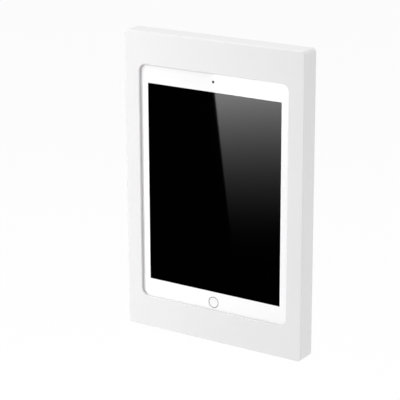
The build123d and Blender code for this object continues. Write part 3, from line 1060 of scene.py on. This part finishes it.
@dataclass
class TabletInsides:
    """What the tablet has inside, in place of the plain solids of the frame. Sizes are in metres.

    Attributes:
        overlap: How far one part of a piece reaches into the next.
        small_corner: Radius of the corners of small stamped and moulded parts.
        small_edge: Radius of their edges.
        drawn_edge: Radius of the edges of drawn tinplate.
        chip_edge: Radius of the edges of chips and of spring fingers.
        cell_corner: Radius of the corners of a battery cell's drawn cup.
        cell_edge: Radius of the cup's edges.
        seam_width: Thickness of the seam folded against each side of a cell.
        seam_height: How far that seam stands up from the cell's back.
        seal_length: Length of the cell's flat seal and its two tabs, above the cup.
        foil: Thickness of the seal.
        tab_length: How far the tabs stand out of the seal.
        tab_width: Width of each tab.
        tab_spread: Distance between their middles.
        tab_step: How much further forward each tab lies than the strip made before it.
        board_corner: Radius of the board's corners.
        part_sizes: Width, height and thickness of the parts along the board's margins, in order.
        part_step: Distance from one part to the next.
        part_margin: Distance from their middles to the board's edge.
        part_sink: How far they reach into the board.
        can_corner: Radius of the corners of the shielding can.
        lid_rise: How far the can's lid stands above its frame.
        lid_inset: How far the lid lies inside the frame.
        finger_proud: How far the lid's spring fingers stand out from the frame.
        finger_length: Length of a finger along the can.
        finger_drop: How far a finger reaches down the frame.
        finger_step: Distance from one finger to the next.
        speaker_corner: Radius of the corners of a speaker's box.
        speaker_edge: Radius of its edges.
        cone_rise: How far the speaker's cone and its rim stand up.
        cone_inset: How far the cone's rim lies inside the box.
        switch_plunger: Radius of the home switch's plunger.
        switch_travel: How far it stands out of its can.
        barrel_inset: How far the front camera's round barrel lies inside its base.
        barrel_rise: How far the barrel stands above the base.
        lens_radius: Radius of the lens's mount.
        lens_rise: How far that stands above the barrel.
        pouch: The battery cells.
        board: The logic board.
        epoxy: The board's chips and connectors.
        can: Drawn tinplate over the board.
        switch: The tinned can of the home switch.
        polymer: The speakers' boxes.
        barrel: The front camera's matt black body, which throws no stray light into its lens.
    """

    overlap: float = 0.0002
    small_corner: float = 0.0003
    small_edge: float = 0.0001
    drawn_edge: float = 0.0002
    chip_edge: float = 0.00005
    cell_corner: float = 0.0025
    cell_edge: float = 0.001
    seam_width: float = 0.0007
    seam_height: float = 0.0018
    seal_length: float = 0.0045
    foil: float = 0.0003
    tab_length: float = 0.0015
    tab_width: float = 0.006
    tab_spread: float = 0.024
    tab_step: float = 0.00005
    board_corner: float = 0.0015
    part_sizes: tuple[tuple[float, float, float], ...] = (
        (0.0010, 0.0005, 0.00035),
        (0.0032, 0.0016, 0.0008),
        (0.0010, 0.0005, 0.00035),
        (0.0020, 0.0012, 0.0005),
    )
    part_step: float = 0.0043
    part_margin: float = 0.0015
    part_sink: float = 0.0001
    can_corner: float = 0.001
    lid_rise: float = 0.0003
    lid_inset: float = 0.0005
    finger_proud: float = 0.00015
    finger_length: float = 0.0028
    finger_drop: float = 0.0004
    finger_step: float = 0.004
    speaker_corner: float = 0.0012
    speaker_edge: float = 0.0003
    cone_rise: float = 0.0004
    cone_inset: float = 0.0018
    switch_plunger: float = 0.0013
    switch_travel: float = 0.0009
    barrel_inset: float = 0.0002
    barrel_rise: float = 0.001
    lens_radius: float = 0.0012
    lens_rise: float = 0.0003
    pouch: Finish = BatteryPouch("battery_pouch", "#1B1C1F", roughness=0.36, metallic=0.4)
    board: Finish = SolderMask("green_solder_mask", "#123F2D", roughness=0.35, ior=1.55)
    epoxy: Finish = MouldedSurface(
        "moulded_epoxy",
        "#1D1E20",
        roughness=0.5,
        ior=1.55,
        edge_mm=0.03,
        relief_mm=0.005,
        grain_mm=0.1,
    )
    can: Finish = Tablet.can
    switch: Finish = PlatedMetal("tinned_switch_can", "#B9BBBD", roughness=0.3, edge_mm=0.05)
    polymer: Finish = Tablet.polymer
    barrel: Finish = MouldedSurface(
        "moulded_camera_barrel",
        "#0E0F11",
        roughness=0.4,
        ior=1.6,
        edge_mm=0.03,
        relief_mm=0.004,
        grain_mm=0.1,
    )

    def build(self) -> None:
        """Builds the battery, the speakers, the board and its can, the switch and the camera."""
        for side in ("left", "right"):
            self.build_cell(side)
            self.build_speaker(side)
        self.build_board()
        self.build_can()
        self.build_switch()
        self.build_camera()

    def build_cell(self, side: str) -> None:
        """Builds one pouch cell: drawn cup, folded seams, flat seal and two tabs.

        Args:
            side: The side that it lies on.
        """
        solid = f"battery_cell_{side}"
        low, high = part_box(solid)
        middle, seal = (low.x + high.x) / 2, high.z - self.seal_length
        left, right = low.x + self.seam_width, high.x - self.seam_width
        shape = bmesh.new()
        cup_low, cup_high = Vector((left, low.y, low.z)), Vector((right, high.y, seal))
        block(shape, cup_low, cup_high, self.cell_corner, self.cell_edge)
        for outer, inner in ((low.x, left + self.overlap), (right - self.overlap, high.x)):
            seam_low = Vector((outer, high.y - self.seam_height, low.z + self.cell_corner))
            seam_high = Vector((inner, high.y, seal - self.cell_corner))
            block(shape, seam_low, seam_high, self.small_corner, self.small_edge)
        back = high.y - self.cell_edge
        strips = [(left + self.cell_corner, right - self.cell_corner, high.z - self.tab_length)]
        for x in (middle - self.tab_spread / 2, middle + self.tab_spread / 2):
            strips.append((x - self.tab_width / 2, x + self.tab_width / 2, high.z))
        for start, stop, end in strips:
            strip_low = Vector((start, back - self.foil, seal - self.cell_edge))
            block(shape, strip_low, Vector((stop, back, end)), self.small_corner, self.small_edge)
            back -= self.tab_step
        add_piece(shape, f"pouch_cell_{side}", self.pouch, "base", "battery_foil", solid)

    def build_speaker(self, side: str) -> None:
        """Builds one speaker: a moulded box with the rim of its cone.

        Args:
            side: The side that it lies on.
        """
        solid = f"speaker_{side}"
        box = low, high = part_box(solid)
        face = low.y + self.cone_rise
        half = (high.z - low.z) / 2 - self.cone_inset
        shape = bmesh.new()
        layer(shape, box, 0.0, face, high.y, self.speaker_corner, self.speaker_edge)
        layer(shape, box, self.cone_inset, low.y, face + self.overlap, half, self.small_edge)
        add_piece(shape, f"speaker_box_{side}", self.polymer, "base", "black_plastic", solid)

    def build_board(self) -> None:
        """Builds the board, and the small parts that stand along its two long margins."""
        low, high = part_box("logic_board")
        shape = bmesh.new()
        block(shape, low, high, self.board_corner, self.small_edge)
        add_piece(shape, "routed_logic_board", self.board, "base", "board_green", "logic_board")
        parts = bmesh.new()
        places = spaced(low.x, high.x, self.part_step)
        for x, (width, height, thickness) in zip(places, cycle(self.part_sizes)):
            half = Vector((width / 2, 0.0, height / 2))
            for z in (low.z + self.part_margin, high.z - self.part_margin):
                face = Vector((x, low.y - thickness, z)) - half
                foot = Vector((x, low.y + self.part_sink, z)) + half
                block(parts, face, foot, self.small_edge, self.chip_edge)
        add_piece(parts, "board_parts", self.epoxy, "base", "black_plastic")

    def build_can(self) -> None:
        """Builds the shielding can: its frame, its lid and the lid's spring fingers."""
        box = low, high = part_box("board_shield")
        face = low.y + self.lid_rise
        lid_back = face + self.overlap
        shape = bmesh.new()
        layer(shape, box, self.finger_proud, face, high.y, self.can_corner, self.drawn_edge)
        layer(shape, box, self.lid_inset, low.y, lid_back, self.can_corner, self.drawn_edge)
        size = Vector((self.finger_length, self.finger_drop, self.finger_proud + self.overlap))
        for x in spaced(low.x, high.x, self.finger_step):
            for z in (low.z, high.z - size.z):
                corner = Vector((x - self.finger_length / 2, lid_back, z))
                block(shape, corner, corner + size, self.small_edge, self.chip_edge)
        add_piece(shape, "drawn_shield_can", self.can, "base", "polished_steel", "board_shield")

    def build_switch(self) -> None:
        """Builds the home button's switch: a square can with a round plunger."""
        solid = "home_switch"
        box = low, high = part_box(solid)
        face, plunger = low.y + self.switch_travel, self.switch_plunger
        inset = (high.x - low.x) / 2 - plunger
        shape = bmesh.new()
        layer(shape, box, 0.0, face, high.y, self.small_corner, self.small_edge)
        layer(shape, box, inset, low.y, face + self.overlap, plunger, self.drawn_edge)
        add_piece(shape, "tactile_home_switch", self.switch, "base", "polished_steel", solid)

    def build_camera(self) -> None:
        """Builds the front camera: a square base, a round barrel and the lens's mount."""
        box = low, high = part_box("front_camera")
        barrel_front = low.y + self.lens_rise
        base_front = barrel_front + self.barrel_rise
        barrel = (high.x - low.x) / 2 - self.barrel_inset
        lens_inset = barrel + self.barrel_inset - self.lens_radius
        barrel_back, lens_back = base_front + self.overlap, barrel_front + self.overlap
        shape = bmesh.new()
        layer(shape, box, 0.0, base_front, high.y, self.small_corner, self.small_edge)
        layer(shape, box, self.barrel_inset, barrel_front, barrel_back, barrel, self.small_edge)
        layer(shape, box, lens_inset, low.y, lens_back, self.lens_radius, self.small_edge)
        add_piece(shape, "front_camera_module", self.barrel, "base", "camera_black", "front_camera")


class Sees(Enum):
    """Which rays see a piece of the studio."""

    EVERYTHING = "everything"
    REFLECTIONS = "reflections"


def hang_sheet(name: str, corners: list[Point], material: Material, sees: Sees) -> None:
    """Adds one flat piece of the studio.

    Args:
        name: The piece's name.
        corners: Its corners, in order.
        material: What it is made of.
        sees: Which rays see it.
    """
    mesh = bpy.data.meshes.new(name)
    mesh.from_pydata(corners, [], [tuple(range(len(corners)))])
    mesh.materials.append(material)
    sheet = bpy.data.objects.new(name, mesh)
    bpy.context.scene.collection.objects.link(sheet)
    if sees is Sees.REFLECTIONS:
        for ray in ("camera", "diffuse", "transmission", "volume_scatter", "shadow"):
            setattr(sheet, f"visible_{ray}", False)
    log.info("%s, seen by %s", name, sees.value)


def bare_material(name: str) -> tuple[Material, NodeSocket]:
    """Starts a material of the studio, without a shader.

    Args:
        name: The material's name.

    Returns:
        The material, and the socket that its shader feeds.
    """
    made = bpy.data.materials.new(name)
    made.use_nodes = True
    nodes = made.node_tree.nodes
    nodes.remove(nodes["Principled BSDF"])
    return made, nodes["Material Output"].inputs["Surface"]


@dataclass(frozen=True)
class Softbox:
    """One soft lamp of the studio.

    Attributes:
        name: The lamp's name.
        place: Where it hangs.
        size: Side of its square face.
        power: Light that it gives, in watts.
        aim: The point that it faces.
        spread: Angle of its beam in degrees, narrowed as by a honeycomb grid.
    """

    name: str
    place: Point
    size: float
    power: float
    aim: Point = (0.0, 0.0, 0.0)
    spread: float = 180.0

    def hang(self) -> None:
        """Adds the lamp to the scene."""
        lamp = bpy.data.lights.new(self.name, "AREA")
        lamp.size = self.size
        lamp.energy = self.power
        lamp.spread = math.radians(self.spread)
        carrier = bpy.data.objects.new(self.name, lamp)
        bpy.context.scene.collection.objects.link(carrier)
        carrier.visible_camera = False
        carrier.location = self.place
        view = Vector(self.aim) - Vector(self.place)
        carrier.rotation_euler = view.to_track_quat("-Z", "Y").to_euler()
        log.info("lamp %s: %.1f W", self.name, self.power)


@dataclass(frozen=True)
class MirroredCard:
    """The card that the screen mirrors: a black flag, and beside it a lamp's fading glow.

    It stands in front of the glass, outside the camera's view. Only reflections see it, so it
    throws no light or shadow. Sizes are in metres.

    Attributes:
        distance: How far in front of the wall it stands.
        left: Its left edge.
        right: Its right edge.
        bottom: Its lower edge.
        top: Its upper edge.
        glow_start: Where the glow's left edge lies at the height of the frame's middle.
        glow_slant: How far that edge runs to the left for each metre up.
        glow_blur: Width over which that edge is soft.
        fade_end: Height where the glow has faded to nothing, below the frame's middle.
        fade_lean: How far that height rises for each metre to the right.
        fade_height: Distance over which the glow fades.
        fade_power: How much faster it fades near its top than near its end.
        strength: Strength of the glow at its top, where 1 is white.
    """

    distance: float = 0.4676
    left: float = -0.50
    right: float = -0.13
    bottom: float = -0.35
    top: float = 0.05
    glow_start: float = -0.2935
    glow_slant: float = 0.13
    glow_blur: float = 0.0006
    fade_end: float = -0.2451
    fade_lean: float = 0.1626
    fade_height: float = 0.2572
    fade_power: float = 4.1
    strength: float = 4.0

    def stand(self) -> None:
        """Adds the card to the scene."""
        material, surface = bare_material("flag_and_glow")
        tree = material.node_tree
        edge = self.growth(tree, (1.0, 0.0, self.glow_slant), self.glow_start, self.glow_blur)
        fade = self.growth(tree, (-self.fade_lean, 0.0, 1.0), self.fade_end, self.fade_height)
        light = add_node(tree, "ShaderNodeMath", {0: fade, 1: self.fade_power}, operation="POWER")
        for factor in (edge, self.strength):
            inputs = {0: light.outputs[0], 1: factor}
            light = add_node(tree, "ShaderNodeMath", inputs, operation="MULTIPLY")
        add_node(tree, "ShaderNodeEmission", {"Strength": light.outputs[0]}, into=surface)
        sides = (self.left, self.right, self.right, self.left)
        ends = (self.bottom, self.bottom, self.top, self.top)
        corners = [(x, -self.distance, z) for x, z in zip(sides, ends)]
        hang_sheet("mirrored_card", corners, material, Sees.REFLECTIONS)

    def growth(self, tree: NodeTree, direction: Point, start: float, length: float) -> NodeSocket:
        """Makes a value that grows evenly across the card.

        Args:
            tree: The card's node tree.
            direction: The way in which it grows.
            start: Distance that way from the origin at which it leaves 0.
            length: Distance over which it reaches 1.

        Returns:
            The socket with the value.
        """
        place = {0: add_node(tree, "ShaderNodeTexCoord").outputs["Object"], 1: direction}
        along = add_node(tree, "ShaderNodeVectorMath", place, operation="DOT_PRODUCT")
        ends = {"Value": along.outputs["Value"], "From Min": start, "From Max": start + length}
        return add_node(tree, "ShaderNodeMapRange", ends).outputs["Result"]


@dataclass(frozen=True)
class Camera:
    """The camera, where the photograph was taken from.

    Attributes:
        place: Where it stands, in metres.
        turn: Its turn to the left, in degrees.
        dip: How far it looks down, in degrees.
        roll: Its roll, in degrees.
        focal_mm: Its focal length.
        film_mm: Width of its film.
        sight: The furthest distance that it sees, in metres.
    """

    place: Point = (0.8130, -1.2714, 0.4536)
    turn: float = 33.445
    dip: float = 17.094
    roll: float = 0.233
    focal_mm: float = 148.71
    film_mm: float = 36.0
    sight: float = 40.0

    def set_up(self) -> None:
        """Makes this the scene's camera."""
        data = bpy.data.cameras.new("camera")
        data.sensor_width = self.film_mm
        data.lens = self.focal_mm
        data.clip_end = self.sight
        camera = bpy.data.objects.new("camera", data)
        bpy.context.scene.collection.objects.link(camera)
        upright = Matrix.Rotation(math.pi / 2, 4, "X")
        roll = Matrix.Rotation(math.radians(self.roll), 4, "Y")
        dip = Matrix.Rotation(math.radians(-self.dip), 4, "X")
        turn = Matrix.Rotation(math.radians(self.turn), 4, "Z")
        camera.matrix_world = Matrix.Translation(self.place) @ turn @ dip @ roll @ upright
        bpy.context.scene.camera = camera
        log.info("camera: %.2f mm lens", self.focal_mm)


@dataclass
class Studio:
    """White room: camera, soft lamps, pale floor and the dark card that the screen mirrors.

    Attributes:
        camera: The camera.
        card: What the screen mirrors.
        lamps: The soft lamps.
        white: Colour of the surroundings and of the floor as the camera sees them.
        ambient: Strength of the surroundings as a lamp, where 1 is white.
        floor_z: Height of the floor in metres, below the frame as it hangs.
        floor_half: Half of its side, in metres.
        floor_colour: Its colour under the lamps.
        floor_glow: Share of its look that is its own white, and not the light on it.
        floor_white: Strength of that white, which makes up for the grey of the rest.
    """

    camera: Camera = Camera()
    card: MirroredCard = MirroredCard()
    lamps: tuple[Softbox, ...] = (
        Softbox(
            "key_from_left",
            (-0.55, -0.62, 0.08),
            size=0.15,
            power=0.4,
            aim=(-0.22, 0.0, -0.1),
            spread=80.0,
        ),
        Softbox("high_from_left", (-1.6, -1.9, 1.4), size=0.7, power=21.5),
        Softbox("low_from_right", (0.5, -1.3, -0.3), size=0.3, power=0.55, aim=(0.05, 0.0, -0.1)),
        Softbox("overhead", (0.1, -0.1, 1.7), size=1.6, power=13.0),
        Softbox("side_from_right", (0.95, 0.14, 0.0), size=0.2, power=1.4),
    )
    white: str = "#FEFDFE"
    ambient: float = 0.54
    floor_z: float = -0.36
    floor_half: float = 9.0
    floor_colour: str = "#F4F3F4"
    floor_glow: float = 0.9
    floor_white: float = 1.032

    def build(self) -> None:
        """Sets up everything that isn't part of the object."""
        bpy.context.scene.view_settings.view_transform = "Standard"
        self.camera.set_up()
        self.light_world()
        self.lay_floor()
        self.card.stand()
        for lamp in self.lamps:
            lamp.hang()

    def light_world(self) -> None:
        """Makes the surroundings white, with their light on the object held back."""
        world = bpy.data.worlds.new("white_room")
        bpy.context.scene.world = world
        world.use_nodes = True
        background = world.node_tree.nodes["Background"]
        background.inputs["Color"].default_value = linear(self.white)
        self.choose(world.node_tree, background.inputs["Strength"], self.ambient, 1.0)
        log.info("world: ambient %.2f", self.ambient)

    def lay_floor(self) -> None:
        """Lays a pale seamless floor, which keeps a faint shadow."""
        material, surface = bare_material("pale_floor")
        tree = material.node_tree
        lit = add_node(tree, "ShaderNodeBsdfDiffuse", {"Color": linear(self.floor_colour)})
        white = {"Color": linear(self.white), "Strength": self.floor_white}
        own = add_node(tree, "ShaderNodeEmission", white)
        looks = {1: lit.outputs[0], 2: own.outputs[0]}
        mix = add_node(tree, "ShaderNodeMixShader", looks, into=surface)
        self.choose(tree, mix.inputs[0], 0.0, self.floor_glow)
        spots = ((-1, -1), (1, -1), (1, 1), (-1, 1))
        corners = [(x * self.floor_half, y * self.floor_half, self.floor_z) for x, y in spots]
        hang_sheet("floor", corners, material, Sees.EVERYTHING)

    def choose(self, tree: NodeTree, target: NodeSocket, as_light: float, as_seen: float) -> None:
        """Gives a socket one value for light on the object and another for what the camera sees.

        Args:
            tree: The node tree.
            target: The socket.
            as_light: Its value for light that falls on the object.
            as_seen: Its value for rays from the camera, also by way of a mirror or glass.
        """
        path = add_node(tree, "ShaderNodeLightPath").outputs
        seen = path["Is Camera Ray"]
        for ray in ("Is Glossy Ray", "Is Transmission Ray"):
            either = add_node(tree, "ShaderNodeMath", {0: seen, 1: path[ray]}, operation="MAXIMUM")
            seen = either.outputs[0]
        limits = {"To Min": as_light, "To Max": as_seen}
        add_node(tree, "ShaderNodeMapRange", {"Value": seen, **limits}, into=target)


def main() -> None:
    """Builds the sub-assemblies in order, and then the studio."""
    for kind in (Cover, WallPlate, CornerHolders, HolderScrews, Tablet, TabletInsides, Studio):
        log.info("building %s", kind.__name__)
        kind().build()


if __name__ == "__main__":
    main()
